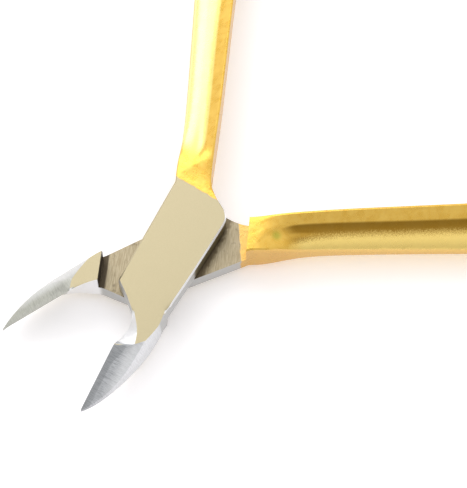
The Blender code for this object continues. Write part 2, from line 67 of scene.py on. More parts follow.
TIP_Y = -21.1
HEEL_Y = -13.3
TIP_EDGE_Z = -0.82
HEEL_EDGE_Z = 1.86
FACET_RUN = 1.5                 # length of the run-out where the ground facet meets the flat root
FACET_ROW_Y = -12.4             # station that is bent to follow the end of the flat root
FACET_ROW_REACH = 3.4           # how far towards the joint the stations are bent with it
JAW_BLEND = {"upper": (-7.0, -9.0), "lower": (-6.8, -7.5)}   # joint's square section to the jaw's
JOINT_SPAN = (-6.2, 8.3)
RIDGE_START = 0.75              # ridge from the joint's outer edge, where it starts
BEVEL_DROP = 0.36               # of the narrow bevel along the edge, per mm across

# points between two lines of a section, as shares of the way (across, down)
ROOT_SHOULDER = ((0.7, 0.35), (1.0, 0.8))
GROUND_SHOULDER = ((0.75, 0.45), (1.0, 0.9))
JAW_LOWER_SIDE = (0.75, 0.6)
JAW_LOWER_CORNER = 0.9          # from the undercut to the side
THROAT_SIDE = (0.35, 0.7)
FLUTE_SHARES = ((0.13, 0.13, 0.37), (0.42, 0.42, 0.66), (0.83, 0.83, 0.8))   # across, flat, fluted
FLUTE_START = 0.16              # flute's lowest line under the ridge, towards the outer edge
HANDLE_OUTER_BREAK = 0.1        # rounding of the handle's outer edge: across, down
HANDLE_OUTER_DROP = 0.4

HANDLE_STRAIGHT_END = (-11.4, 38.3)   # inner edge where the straight stretch ends
HANDLE_STRAIGHT_TILT = 22.2           # direction of the straight stretch, from Y
HANDLE_ARC_RADIUS = 63.0
HANDLE_ARC_SWEEP = 38.0
HANDLE_ARC_STEPS = 9
HANDLE_WIDTHS = (4.35, 5.3, 5.2, 4.0)  # neck, end of the straight, three quarters along, end
HANDLE_END_DEPTH = 2.4                # half depth where the rounded end starts
HANDLE_END_LENGTH = 2.6               # rounded end
HANDLE_END_TURNS = (30, 55, 75, 87)   # stations of the rounded end, degrees of a quarter turn
TOP_BAND_WIDTH = 1.4                  # inner edge to the ridge over the flute
RIDGE_DROP = 0.75                     # inner edge down to the ridge
FLUTE_STEP = 0.38                     # ridge down into the flute
FLUTE_OUTER_Z = 0.62                  # flute's outer edge
INNER_EDGE = ((-0.28, 0.0), (-0.06, 0.08), (0.0, 0.3))   # broken inner edge: (across, drop)

PIVOT_SHAFT_RADIUS = 1.6
PIVOT_HEAD_RADIUS = 2.7
PIVOT_HEAD_RIM = 0.3            # straight rim of the countersunk head
PIVOT_HEAD_HEIGHT = 1.1
PIVOT_HEAD_SINK = 0.05
PIVOT_BORE_DEPTH = 1.5
RUNNING_GAP = 0.3
RECESS_OVERSHOOT = 2.0
PIN_RIM_BREAK = 0.12
SPANNER_HOLE_SPREAD = 1.5
SPANNER_HOLE_RADIUS = 0.38
SPANNER_HOLE_DEPTH = 0.6

SPRING_STATION = 7.5            # along the handle's arc, from its start to the spring rivet
SPRING_WIDTH = 3.4
SPRING_TIP_WIDTH = 2.1
SPRING_THICKNESS = 0.45
SPRING_FOOT = 3.2               # flat foot, each side of the rivet
SPRING_TIP_GAP = 0.3            # leaf tip to the plane between the handles
SPRING_TIP_Y = 60.0             # where the two tips meet, open, from the pivot
SPRING_START_PULL = 7.0         # how far the leaf follows the handle before it bows out
SPRING_TIP_PULL = (-8.0, -7.0)  # direction and reach in which the leaf arrives at its tip
SPRING_STEPS = 48
SPRING_FOOT_STEPS = 10
SPRING_END_ROUND = 0.35         # how fast the leaf's ends grow to full width, per step
RIVET_DOME_STEPS = 10
RIVET_SHANK_RADIUS = 0.6
RIVET_HEAD_RADIUS = 1.15
RIVET_HEAD_RIM = 0.12
RIVET_HEAD_DOME = 0.53
RIVET_DEPTH = 2.0
PIN_SIDES = 40
RIVET_SIDES = 24

# --- outline tables, straight between the points: (y, x) unless said otherwise ---
PLATE_LEFT = [(-8.9, 0.0), (-7.5, -1.7), (-6.2, -3.4), (8.1, -3.9)]
PLATE_RIGHT = [(-9.3, 3.45), (-6.9, 3.43), (-2.2, 3.7), (5.6, 3.92), (6.4, 3.86), (7.2, 3.4),
               (7.8, 2.55), (8.3, 1.66)]
# throat: (y, x) and (y, z) of its upper edge, and the line where its bevel meets the flat
THROAT_X = {"upper": [(-13.3, 0.05), (-12.7, 0.15), (-11.8, 0.36), (-10.7, 0.41), (-9.6, 0.25), (-8.9, 0.0)],
            "lower": [(-13.3, 0.05), (-12.5, 0.12), (-11.8, 0.2), (-10.0, 0.18), (-9.2, 0.0)]}
THROAT_Z = {"upper": [(-13.3, 1.86), (-12.7, 1.5), (-11.8, 1.15), (-10.7, 1.0), (-9.6, 1.4), (-8.9, 2.1)],
            "lower": [(-13.3, 1.86), (-12.5, 2.05), (-11.8, 2.1)]}
THROAT_BEVEL_X = [(-12.4, 2.2), (-10.7, 1.55), (-9.7, 0.85), (-8.9, 0.18)]
UNDERCUT_X = [(-21.1, 0.1), (-20.2, 0.45), (-18.0, 1.15), (-15.0, 1.75), (-13.3, 1.9), (-12.0, 1.6),
              (-10.5, 0.9), (-9.5, 0.3), (-8.9, 0.0)]
SIDE_X = [(-21.1, 0.14), (-20.3, 0.78), (-19.3, 1.4), (-18.0, 1.98), (-16.7, 2.46), (-15.2, 2.9),
          (-13.3, 3.35), (-11.0, 3.62), (-9.3, 3.7), (-7.5, 3.55)]
SIDE_Z = [(-21.1, -1.05), (-18.0, -0.9), (-9.3, -0.5)]
JAW_BOTTOM_Z = [(-21.1, -1.2), (-20.0, -1.4), (-17.5, -1.75), (-14.0, -2.05), (-12.0, -2.1)]
BOTTOM_BEVEL = [(-21.1, 0.0), (-17.0, 0.55)]    # (y, width) under the upper half's jaw
FACET_X = {"upper": [(-21.1, 0.12), (-20.3, 0.66), (-19.1, 1.38), (-18.0, 1.93), (-16.7, 2.38),
                     (-14.8, 2.75), (-12.0, 3.0)],
           "lower": [(-21.1, 0.12), (-20.3, 0.62), (-19.1, 1.25), (-18.0, 1.75), (-16.7, 2.15),
                     (-14.8, 2.35), (-13.2, 2.0), (-11.8, 1.4)]}
FACET_DROP = [(-21.1, 0.05), (-20.3, 0.18), (-19.1, 0.3), (-18.0, 0.38), (-14.8, 0.42), (-12.0, 0.3)]
BEVEL_X = [(-21.1, 0.09), (-20.2, 0.34), (-18.5, 0.62), (-13.3, 0.85)]
# jaw root, where the flat face ends: its outer edge (y, x), and its end towards the tip (x, y)
FLAT_OUTER = {"upper": [(-11.5, 3.0), (-10.7, 3.2), (-9.3, 3.43), (-7.0, 3.43)],
              "lower": [(-11.8, 1.28), (-11.1, 1.8), (-10.4, 2.2), (-9.6, 2.65), (-8.8, 3.0), (-7.4, 3.2)]}
FLAT_END = {"upper": [(0.4, -12.9), (1.3, -12.9), (1.8, -12.6), (2.5, -12.1), (3.0, -11.45), (3.2, -10.7)],
            "lower": [(0.0, -12.8), (0.15, -12.6), (0.68, -12.26), (1.28, -11.8)]}
# neck stations: inner edge x, y; outer edge x, y
NECK = [(0.6, 9.2, -4.25, 8.95), (0.05, 9.85, -4.45, 9.4), (-0.6, 11.2, -4.8, 10.3),
        (-1.15, 12.6, -5.22, 11.4), (-1.75, 14.2, -5.72, 12.85), (-2.6, 16.4, -6.5, 14.95),
        (-3.87, 19.8, -7.9, 18.16)]
# z of the inner and the outer edge at those stations
NECK_Z = {"upper": [(2.11, 2.1), (2.12, 2.1), (2.2, 2.09), (2.52, 1.98), (2.9, 1.4), (3.0, 0.98),
                    (3.0, 0.75)],
          "lower": [(2.11, 2.1), (2.18, 2.08), (2.45, 1.98), (2.75, 1.7), (2.95, 1.25), (3.0, 0.95),
                    (3.0, 0.75)]}
# ridge over the flute at those stations: its distance from the inner edge, and the step under it
RIDGE = {"upper": [(4.5, 0.0), (3.9, 0.0), (2.6, 0.0), (1.5, 0.12), (1.12, 0.38), (1.1, 0.38),
                   (1.2, 0.38)],
         "lower": [(4.1, 0.0), (3.3, 0.02), (2.3, 0.08), (1.55, 0.24), (1.12, 0.38), (1.1, 0.38),
                   (1.2, 0.38)]}
# recess walls: a point on X = 0 and the common slope
WALL_SLOPE = 0.6
JAW_WALL_Y = -9.2
HANDLE_WALL_Y = {"upper": 12.25, "lower": 10.1}
RECESS_REACH = 9.0

POINTS_ON_FACE = 8              # of a section's top chain, and of its bottom chain


def interpolate(table, value):
    """Read a (key, value) table, straight between points and level past its ends."""
    if value <= table[0][0]:
        return table[0][1]
    for (key_a, value_a), (key_b, value_b) in zip(table, table[1:]):
        if value <= key_b:
            return value_a + (value_b - value_a) * (value - key_a) / (key_b - key_a)
    return table[-1][1]


def clamp(value):
    return min(max(value, 0.0), 1.0)


def smooth(value):
    value = clamp(value)
    return value * value * (3 - 2 * value)


def mix(a, b, weight):
    return a + (b - a) * weight


def side_sign(name):
    return 1.0 if name == "upper" else -1.0


# --- rings of (x, y, z): top chain left to right, right side, bottom chain, left side ---
def joint_ring(y):
    """The joint: a rectangle with broken edges. Its sixth point leads from the jaw's facet to the ridge."""
    left = interpolate(PLATE_LEFT, y)
    right = interpolate(PLATE_RIGHT, y)
    top = PLATE_HALF_THICKNESS
    start, end = JOINT_SPAN
    lead = mix(right - CHAMFER * 1.5, left + RIDGE_START, smooth((y - start) / (end - start)))
    upper = [(mix(left + CHAMFER, lead, i / 5), y, top) for i in range(6)]
    corner = 1.0 if y > start - CHAMFER else 0.5
    upper += [(right - CHAMFER * corner, y, top - CHAMFER * (1 - corner)), (right, y, top - CHAMFER)]
    right_side = [(right, y, 0.0), (right, y, CHAMFER - top)]
    last = POINTS_ON_FACE - 1
    lower = [(mix(right - CHAMFER, left + CHAMFER, i / last), y, -top) for i in range(POINTS_ON_FACE)]
    left_side = [(left, y, CHAMFER - top), (left, y, top - CHAMFER)]
    return upper + right_side + lower + left_side


def edge_height(y):
    """Height of the line through the cutting edge."""
    return mix(TIP_EDGE_Z, HEEL_EDGE_Z, (y - TIP_Y) / (HEEL_Y - TIP_Y))


def inner_edge(name, y):
    """The jaw's inner upper edge: the joint's side, then the throat, then the cutting edge."""
    if y < HEEL_Y:
        return EDGE_CLEARANCE, edge_height(y)
    if y > PLATE_LEFT[0][0]:
        return interpolate(PLATE_LEFT, y), PLATE_HALF_THICKNESS
    return interpolate(THROAT_X[name], y), interpolate(THROAT_Z[name], y)


def root_points(name, y):
    """Top chain of the jaw's root: throat edge, its bevel, the flat face, and the rounded shoulder."""
    inner_x, inner_z = inner_edge(name, y)
    outer = interpolate(FLAT_OUTER[name], y)
    side_x = interpolate(SIDE_X, y)
    side_z = interpolate(SIDE_Z, y)
    bevel = inner_x + CHAMFER
    if name == "upper" and y < PLATE_LEFT[0][0]:
        bevel = interpolate(THROAT_BEVEL_X, y)
    top = PLATE_HALF_THICKNESS
    points = [(inner_x, inner_z)]
    points += [(mix(bevel, outer, i / 4), top) for i in range(5)]
    points += [(mix(outer, side_x, across), mix(top, side_z, down)) for across, down in ROOT_SHOULDER]
    return points


def ground_points(name, y):
    """Top chain of the ground jaw: cutting edge, narrow bevel, main facet and rounded side."""
    inner_x, inner_z = inner_edge(name, y)
    side_x = interpolate(SIDE_X, y)
    side_z = interpolate(SIDE_Z, y)
    drop = interpolate(FACET_DROP, y)
    facet_x = interpolate(FACET_X[name], y)
    bevel_x = interpolate(BEVEL_X, y)
    edge_z = min(edge_height(y), PLATE_HALF_THICKNESS)
    bevel_z = edge_z - BEVEL_DROP * bevel_x
    facet_z = edge_z - drop
    points = [(inner_x, inner_z)]
    points += [(mix(bevel_x, facet_x, i / 4), mix(bevel_z, facet_z, i / 4)) for i in range(5)]
    for across, down in GROUND_SHOULDER:
        points.append((mix(facet_x, side_x, across), mix(facet_z, side_z, down)))
    return points


def bend_weight(y):
    """How far a station follows the curved end of the flat root: fully at FACET_ROW_Y."""
    if y < FACET_ROW_Y:
        return clamp((y - HEEL_Y) / (FACET_ROW_Y - HEEL_Y))
    return clamp(1 - (y - FACET_ROW_Y) / FACET_ROW_REACH)


def jaw_ring(name, y):
    """A jaw station, with its top chain bent to follow the end of the flat root."""
    top_chain = []
    bend = bend_weight(y)
    for i, (x, _) in enumerate(root_points(name, y)):
        flat_x = min(x, interpolate(FLAT_OUTER[name], y))
        end_y = interpolate(FLAT_END[name], flat_x)
        point_y = y + bend * (end_y - FACET_ROW_Y)
        root_x, root_z = root_points(name, point_y)[i]
        ground_x, ground_z = ground_points(name, point_y)[i]
        run = clamp((end_y - point_y) / FACET_RUN)
        weight = 1 - (1 - run) ** 2
        top_chain.append((mix(root_x, ground_x, weight), point_y, mix(root_z, ground_z, weight)))
    side_x, side_y, _ = top_chain[-1]
    side_z = interpolate(SIDE_Z, y)
    bottom = interpolate(JAW_BOTTOM_Z, y)
    inner_x = top_chain[0][0]
    undercut = interpolate(UNDERCUT_X, y) if y < PLATE_LEFT[0][0] else inner_x
    corner = mix(undercut, side_x, JAW_LOWER_CORNER)
    if name == "upper":
        corner -= interpolate(BOTTOM_BEVEL, y)
    across, down = JAW_LOWER_SIDE
    right_side = [(side_x, mix(side_y, y, 0.3), side_z - EDGE_CLEARANCE),
                  (mix(corner, side_x, across), mix(side_y, y, 0.7), mix(side_z, bottom, down))]
    last = POINTS_ON_FACE - 1
    lower = [(mix(undercut, corner, i / last), y, bottom) for i in range(last, -1, -1)]
    edge_y, edge_z = top_chain[0][1:]
    left_side = [(mix(undercut, inner_x, t), mix(y, edge_y, t), mix(bottom, edge_z, t)) for t in THROAT_SIDE]
    ring = top_chain + right_side + lower + left_side
    start, end = JAW_BLEND[name]
    return blend_rings(joint_ring(y), ring, smooth((start - y) / (start - end)))


def blend_rings(ring_a, ring_b, weight):
    return [tuple(Vector(point_a).lerp(Vector(point_b), weight)) for point_a, point_b in zip(ring_a, ring_b)]


def handle_ring(inner, outer, inner_z, outer_z, ridge, step):
    """Neck or handle: broken inner edge, sloping band, ridge, shallow flute and a rounded outer side."""
    inner = Vector(inner)
    outer = Vector(outer)
    width = (outer - inner).length
    across = (outer - inner) / width
    flute = step / FLUTE_STEP
    ridge_z = inner_z - RIDGE_DROP * flute * ridge_share(inner_z)
    edge = width - mix(CHAMFER, HANDLE_OUTER_BREAK, flute)
    hollow = mix(ridge, edge, FLUTE_START)
    hollow_z = ridge_z - step
    chain = [(edge, outer_z)]
    for place, flat_rise, flute_rise in FLUTE_SHARES:
        rise = mix(flat_rise, flute_rise, flute)
        chain.append((mix(edge, hollow, place), mix(outer_z, hollow_z, rise)))
    chain += [(hollow, hollow_z), (ridge, ridge_z)]
    (band_in, band_drop), (edge_in, edge_drop), (side_in, side_drop) = INNER_EDGE
    chain += [(-band_in, inner_z - band_drop), (-edge_in, inner_z - edge_drop)]
    side = (-side_in, inner_z - side_drop)
    outer_side = (width, outer_z - mix(CHAMFER, HANDLE_OUTER_DROP, flute))
    ring = chain + [side, (side[0], -side[1])] + [(s, -z) for s, z in reversed(chain)]
    ring += [(outer_side[0], -outer_side[1]), outer_side]
    return [(inner.x + across.x * s, inner.y + across.y * s, z) for s, z in ring]


def ridge_share(inner_z):
    """The ridge lies in the plate's plane at the joint and drops as the handle deepens."""
    return clamp((inner_z - PLATE_HALF_THICKNESS) / (HANDLE_HALF_DEPTH - PLATE_HALF_THICKNESS))


# --- the handle's inner edge past the neck ---
def handle_path(distance):
    """A straight stretch, then an arc that turns back inwards: x, y and direction from Y in degrees."""
    start = Vector(NECK[-1][:2])
    end = Vector(HANDLE_STRAIGHT_END)
    straight = (end - start).length
    if distance <= straight:
        point = start.lerp(end, distance / straight)
        return point.x, point.y, HANDLE_STRAIGHT_TILT
    return arc_point(distance - straight)


def arc_point(distance):
    tilt = HANDLE_STRAIGHT_TILT - math.degrees(distance / HANDLE_ARC_RADIUS)
    start_tilt = math.radians(HANDLE_STRAIGHT_TILT)
    end_tilt = math.radians(tilt)
    x = HANDLE_STRAIGHT_END[0] - HANDLE_ARC_RADIUS * (math.cos(end_tilt) - math.cos(start_tilt))
    y = HANDLE_STRAIGHT_END[1] + HANDLE_ARC_RADIUS * (math.sin(start_tilt) - math.sin(end_tilt))
    return x, y, tilt


def straight_length():
    return (Vector(HANDLE_STRAIGHT_END) - Vector(NECK[-1][:2])).length


def arc_length():
    return HANDLE_ARC_RADIUS * math.radians(HANDLE_ARC_SWEEP)


def handle_ring_at(distance):
    whole = straight_length() + arc_length()
    x, y, tilt = handle_path(distance)
    width = interpolate(list(zip((0, straight_length(), whole * 0.75, whole), HANDLE_WIDTHS)), distance)
    depth = interpolate([(whole * 0.7, HANDLE_HALF_DEPTH), (whole, HANDLE_END_DEPTH)], distance)
    ridge = interpolate([(0, RIDGE["upper"][-1][0]), (straight_length() / 2, TOP_BAND_WIDTH)], distance)
    outer = (x - width * math.cos(math.radians(tilt)), y - width * math.sin(math.radians(tilt)))
    outer_z = interpolate([(0, NECK_Z["upper"][-1][1]), (straight_length() / 2, FLUTE_OUTER_Z)], distance)
    return handle_ring((x, y), outer, depth, outer_z, ridge, FLUTE_STEP)


# --- stations ---
JAW_YS = [TIP_Y, -20.7, -20.2, -19.5, -18.6, -17.6, -16.4, -15.2, -14.2, HEEL_Y, -12.9, FACET_ROW_Y,
          -11.8, -11.0, -10.2, -9.5, -8.9, -8.2, -7.5]
JOINT_YS = [-6.9, -6.2, -4.0, -2.2, 2.0, 5.6, 6.4, 7.2, 7.8, 8.3]


def jaw_rings(name):
    return [jaw_ring(name, y) for y in JAW_YS]


def joint_rings():
    return [joint_ring(y) for y in JOINT_YS]


def neck_rings(name):
    rings = []
    for station, (inner_z, outer_z), (ridge, step) in zip(NECK, NECK_Z[name], RIDGE[name]):
        rings.append(handle_ring(station[:2], station[2:], inner_z, outer_z, ridge, step))
    return rings


def handle_rings():
    straight = straight_length()
    steps = [straight * t for t in (0.25, 0.5, 0.75, 1.0)]
    steps += [straight + arc_length() * t / HANDLE_ARC_STEPS for t in range(1, HANDLE_ARC_STEPS + 1)]
    rings = [handle_ring_at(distance) for distance in steps]
    last = [Vector(point) for point in rings[-1]]
    middle = sum(last, Vector()) / len(last)
    tilt = math.radians(handle_path(steps[-1])[2])
    ahead = Vector((-math.sin(tilt), math.cos(tilt), 0.0))
    for turn in HANDLE_END_TURNS:
        shrink = math.cos(math.radians(turn))
        reach = ahead * HANDLE_END_LENGTH * math.sin(math.radians(turn))
        rings.append([tuple(middle + (point - middle) * shrink + reach) for point in last])
    return rings


# --- fine meshes ---
SUBDIVISION_LEVELS = 2
SMOOTH_ANGLE = math.radians(24)
# points of a ring that keep a sharp line along the piece, with their sharpness
JAW_CREASES = {0: 1.0, 1: 0.9, 5: 1.0, 10: 0.6, 17: 1.0}
JOINT_CREASES = {0: 1.0, 6: 1.0, 7: 1.0, 9: 1.0, 10: 1.0, 17: 1.0, 18: 1.0, 19: 1.0}
NECK_CREASES = {0: 0.7, 5: 1.0, 6: 0.8, 7: 0.8, 10: 0.8, 11: 0.8, 12: 1.0, 17: 0.7, 18: 0.5, 19: 0.5}
HANDLE_CREASES = {5: 0.95, 6: 0.7, 7: 0.7, 10: 0.7, 11: 0.7, 12: 0.95}
PLATE_CORNER_Y = -6.2           # sharp corner on the plate's left side


def creased_cage(name):
    """The half's rings joined as a cage for subdivision, with its sharp lines creased."""
    sign = side_sign(name)
    jaw, joint, neck, handle = jaw_rings(name), joint_rings(), neck_rings(name), handle_rings()
    rings = jaw + joint + neck + handle
    marks = [JAW_CREASES] * len(jaw) + [JOINT_CREASES] * len(joint)
    marks += [NECK_CREASES] * len(neck) + [HANDLE_CREASES] * len(handle)
    facet_row = len([y for y in JAW_YS if y < FACET_ROW_Y])
    corner_row = len(jaw) + JOINT_YS.index(PLATE_CORNER_Y)
    bm = bmesh.new()
    crease = bm.edges.layers.float.new("crease_edge")
    rows = [[bm.verts.new(Vector((x * sign, y, z)) * MM) for x, y, z in ring] for ring in rings]
    count = len(rows[0])
    for row_a, row_b in zip(rows, rows[1:]):
        for i in range(count):
            j = (i + 1) % count
            bm.faces.new((row_a[i], row_a[j], row_b[j], row_b[i]))
    bm.faces.new(rows[0][::-1])
    bm.faces.new(rows[-1])
    for i in range(count):
        for k in range(len(rows) - 1):
            bm.edges.get((rows[k][i], rows[k + 1][i]))[crease] = marks[k].get(i, 0.0)
    for i in range(6):
        bm.edges.get((rows[facet_row][i], rows[facet_row][i + 1]))[crease] = 1.0
    for i, j in ((17, 18), (18, 19), (19, 0)):
        bm.edges.get((rows[corner_row][i], rows[corner_row][j]))[crease] = 1.0
    bmesh.ops.recalc_face_normals(bm, faces=bm.faces)
    return bm


def new_object(name, bm):
    mesh = bpy.data.meshes.new(name)
    bm.to_mesh(mesh)
    bm.free()
    item = bpy.data.objects.new(name, mesh)
    bpy.context.scene.collection.objects.link(item)
    return item


def bake_modifiers(item):
    """Replace the object's mesh by the evaluated one, smooth but for its sharp edges."""
    bpy.context.view_layer.update()
    graph = bpy.context.evaluated_depsgraph_get()
    mesh = bpy.data.meshes.new_from_object(item.evaluated_get(graph))
    item.modifiers.clear()
    old = item.data
    item.data = mesh
    bpy.data.meshes.remove(old)
    mesh.transform(item.matrix_world)
    item.matrix_world = Matrix()
    mesh.shade_smooth()
    mesh.set_sharp_from_angle(angle=SMOOTH_ANGLE)


def cylinder(radius, z_low, z_high, sides):
    bm = bmesh.new()
    bmesh.ops.create_cone(bm, cap_ends=True, segments=sides, radius1=radius * MM, radius2=radius * MM,
                          depth=(z_high - z_low) * MM)
    bmesh.ops.translate(bm, verts=bm.verts, vec=(0, 0, (z_low + z_high) / 2 * MM))
    return bm


def cut(item, bm, matrix):
    """Take a shape away from a piece with a Boolean modifier, and hand back the cutter to be removed once the
    modifier is baked.
    """
    cutter = new_object("cutter", bm)
    cutter.matrix_world = matrix
    modifier = item.modifiers.new("cut", "BOOLEAN")
    modifier.operation = "DIFFERENCE"
    modifier.object = cutter
    return cutter


def half_matrix(name):
    """Closed position to the open position in the object's frame."""
    turn = math.radians(OPEN_HALF_ANGLE) * side_sign(name)
    return Matrix.Translation((0, PIVOT_Y * MM, PIVOT_Z * MM)) @ Matrix.Rotation(turn, 4, "Z")


def recess(name):
    """Block that clears the lap recess, between the wall at the jaw and the wall at the handle."""
    low = -JOINT_GAP / 2
    high = PLATE_HALF_THICKNESS + RECESS_OVERSHOOT
    if name == "upper":
        low, high = -high, -low
    bm = bmesh.new()
    bmesh.ops.create_cube(bm, size=2.0)
    for vert in bm.verts:
        x = vert.co.x * RECESS_REACH
        wall_y = JAW_WALL_Y if vert.co.y < 0 else HANDLE_WALL_Y[name]
        z = low if vert.co.z < 0 else high
        vert.co = Vector((x * side_sign(name), wall_y + WALL_SLOPE * x, z)) * MM
    bmesh.ops.recalc_face_normals(bm, faces=bm.faces)
    return bm


def turned(profile, sides):
    """Solid of revolution about Z from (radius, z) points, top to bottom, first and last on the axis."""
    bm = bmesh.new()
    verts = [bm.verts.new((radius * MM, 0, z * MM)) for radius, z in profile]
    edges = [bm.edges.new(pair) for pair in zip(verts, verts[1:])]
    bmesh.ops.spin(bm, geom=verts + edges, axis=(0, 0, 1), cent=(0, 0, 0), steps=sides, angle=2 * math.pi)
    bmesh.ops.remove_doubles(bm, verts=bm.verts, dist=0.000001)
    bmesh.ops.recalc_face_normals(bm, faces=bm.faces)
    return bm


def forged_half(name, material):
    item = new_object(name + "_forging", creased_cage(name))
    item.matrix_world = half_matrix(name)
    smooth_surface = item.modifiers.new("smooth", "SUBSURF")
    smooth_surface.levels = SUBDIVISION_LEVELS
    smooth_surface.render_levels = SUBDIVISION_LEVELS
    cutters = [cut(item, recess(name), half_matrix(name))]
    if name == "upper":
        radius = PIVOT_SHAFT_RADIUS + RUNNING_GAP
        bore = cylinder(radius, -PLATE_HALF_THICKNESS, PIVOT_BORE_DEPTH, PIN_SIDES)
    else:
        profile = pivot_profile(RUNNING_GAP, PLATE_HALF_THICKNESS, -PLATE_HALF_THICKNESS * 2)
        bore = turned(profile, PIN_SIDES)
    cutters.append(cut(item, bore, half_matrix(name)))
    hole = cylinder(RIVET_SHANK_RADIUS + RUNNING_GAP, -RIVET_DEPTH - RUNNING_GAP, RIVET_DEPTH, RIVET_SIDES)
    cutters.append(cut(item, hole, rivet_matrix(name)))
    bake_modifiers(item)
    for cutter in cutters:
        bpy.data.objects.remove(cutter, do_unlink=True)
    item.data.materials.clear()
    item.data.materials.append(material)
    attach(item, name)
    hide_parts(name + "_half")


def pivot_profile(grow, top, bottom):
    """Shaft over a countersunk head in the lower face, grown by a clearance, from top to bottom."""
    head = PIVOT_HEAD_RADIUS + grow
    shaft = PIVOT_SHAFT_RADIUS + grow
    face = -PLATE_HALF_THICKNESS + PIVOT_HEAD_SINK
    return [(0, top), (shaft, top), (shaft, face + PIVOT_HEAD_HEIGHT), (head, face + PIVOT_HEAD_RIM),
            (head, bottom), (0, bottom)]


def pivot_pin(material):
    """The pin with a broken rim and two small spanner holes in its head."""
    top = PIVOT_BORE_DEPTH - RUNNING_GAP
    face = -PLATE_HALF_THICKNESS + PIVOT_HEAD_SINK
    profile = pivot_profile(0, top, face)
    profile[4:5] = [(PIVOT_HEAD_RADIUS, face + PIN_RIM_BREAK), (PIVOT_HEAD_RADIUS - PIN_RIM_BREAK, face)]
    item = new_object("pivot_pin_turned", turned(profile, PIN_SIDES * 2))
    item.matrix_world = half_matrix("upper")
    cutters = []
    for side in (-1, 1):
        place = Matrix.Translation((side * SPANNER_HOLE_SPREAD * MM, 0, face * MM))
        hole = cylinder(SPANNER_HOLE_RADIUS, -SPANNER_HOLE_DEPTH, SPANNER_HOLE_DEPTH, RIVET_SIDES)
        cutters.append(cut(item, hole, half_matrix("upper") @ place))
    bake_modifiers(item)
    for cutter in cutters:
        bpy.data.objects.remove(cutter, do_unlink=True)
    item.data.materials.append(material)
    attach(item, "upper")
    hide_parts("pivot_pin")


# --- springs ---
def rivet_matrix(name):
    """Frame of the spring's rivet: X along the handle, Z out of the handle's inner side."""
    sign = side_sign(name)
    x, y, tilt = arc_point(SPRING_STATION)
    turn = math.radians(tilt)
    outward = Vector((math.cos(turn) * sign, math.sin(turn), 0))
    along = Vector((-math.sin(turn) * sign, math.cos(turn), 0))
    axes = Matrix((along, outward.cross(along), outward)).transposed().to_4x4()
    return half_matrix(name) @ Matrix.Translation((x * sign * MM, y * MM, 0)) @ axes


def rivet(name, material):
    """Round-headed rivet, its dome finer than the CAD model's."""
    base = RUNNING_GAP * 2 + SPRING_THICKNESS
    rim = base + RIVET_HEAD_RIM
    dome = []
    for i in range(RIVET_DOME_STEPS + 1):
        angle = math.pi / 2 * (1 - i / RIVET_DOME_STEPS)
        dome.append((RIVET_HEAD_RADIUS * math.cos(angle), rim + RIVET_HEAD_DOME * math.sin(angle)))
    dome[0] = (0, dome[0][1])
    profile = dome + [(RIVET_HEAD_RADIUS, base), (RIVET_SHANK_RADIUS, base),
                      (RIVET_SHANK_RADIUS, -RIVET_DEPTH), (0, -RIVET_DEPTH)]
    item = new_object("rivet_" + name, turned(profile, RIVET_SIDES * 2))
    item.matrix_world = rivet_matrix(name)
    bake_modifiers(item)
    item.data.materials.append(material)
    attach(item, name)
    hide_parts("spring_rivet_" + name)


def leaf_line(name):
    """Middle line of the leaf in the object's frame, mm: foot, bow and tip."""
    matrix = rivet_matrix("upper")
    origin = matrix.translation / MM
    along = matrix.to_3x3() @ Vector((1, 0, 0))
    outward = matrix.to_3x3() @ Vector((0, 0, 1))
    lift = outward * (RUNNING_GAP + SPRING_THICKNESS / 2)
    foot = origin + along * SPRING_FOOT + lift
    tip = Vector((-SPRING_TIP_GAP - SPRING_THICKNESS / 2, PIVOT_Y + SPRING_TIP_Y, PIVOT_Z))
    pull_a = foot + along * SPRING_START_PULL
    pull_b = tip + Vector((*SPRING_TIP_PULL, 0))
    line = [(origin + along * SPRING_FOOT * (2 * i / SPRING_FOOT_STEPS - 1) + lift, 1.0)
            for i in range(SPRING_FOOT_STEPS)]
    for i in range(SPRING_STEPS + 1):
        t = i / SPRING_STEPS
        u = 1 - t
        point = foot * u ** 3 + pull_a * 3 * u * u * t + pull_b * 3 * u * t * t + tip * t ** 3
        line.append((point, mix(1.0, SPRING_TIP_WIDTH / SPRING_WIDTH, smooth(t))))
    return [(Vector((point.x * side_sign(name), point.y, point.z)), share) for point, share in line]


def leaf(name, material):
    """Flat strip bent along its middle line, with rounded long edges, a rounded foot and a rounded tip."""
    line = leaf_line(name)
    points = [point for point, _ in line]
    count = len(line)
    bm = bmesh.new()
    rows = []
    for i, (point, share) in enumerate(line):
        ahead = (points[min(i + 1, count - 1)] - points[max(i - 1, 0)]).normalized()
        across = Vector((-ahead.y, ahead.x, 0)) * SPRING_THICKNESS / 2
        ends = min((i + 0.6) * SPRING_END_ROUND, (count - 0.4 - i) * SPRING_END_ROUND, 1.0)
        height = SPRING_WIDTH / 2 * share * math.sqrt(1 - (1 - ends) ** 2)
        ring = [(-1, -0.93), (0, -1), (1, -0.93), (1, 0.93), (0, 1), (-1, 0.93)]
        rows.append([bm.verts.new((point + across * u + Vector((0, 0, height * v))) * MM) for u, v in ring])
    for row_a, row_b in zip(rows, rows[1:]):
        for i in range(6):
            j = (i + 1) % 6
            bm.faces.new((row_a[i], row_a[j], row_b[j], row_b[i]))
    bm.faces.new(rows[0][::-1])
    bm.faces.new(rows[-1])
    bmesh.ops.recalc_face_normals(bm, faces=bm.faces)
    item = new_object("leaf_spring_" + name, bm)
    hole = cylinder(RIVET_SHANK_RADIUS + RUNNING_GAP, -RIVET_DEPTH, RIVET_DEPTH, RIVET_SIDES)
    cutter = cut(item, hole, rivet_matrix(name))
    bake_modifiers(item)
    bpy.data.objects.remove(cutter, do_unlink=True)
    item.data.materials.append(material)
    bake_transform(item)
    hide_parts("spring_leaf_" + name)


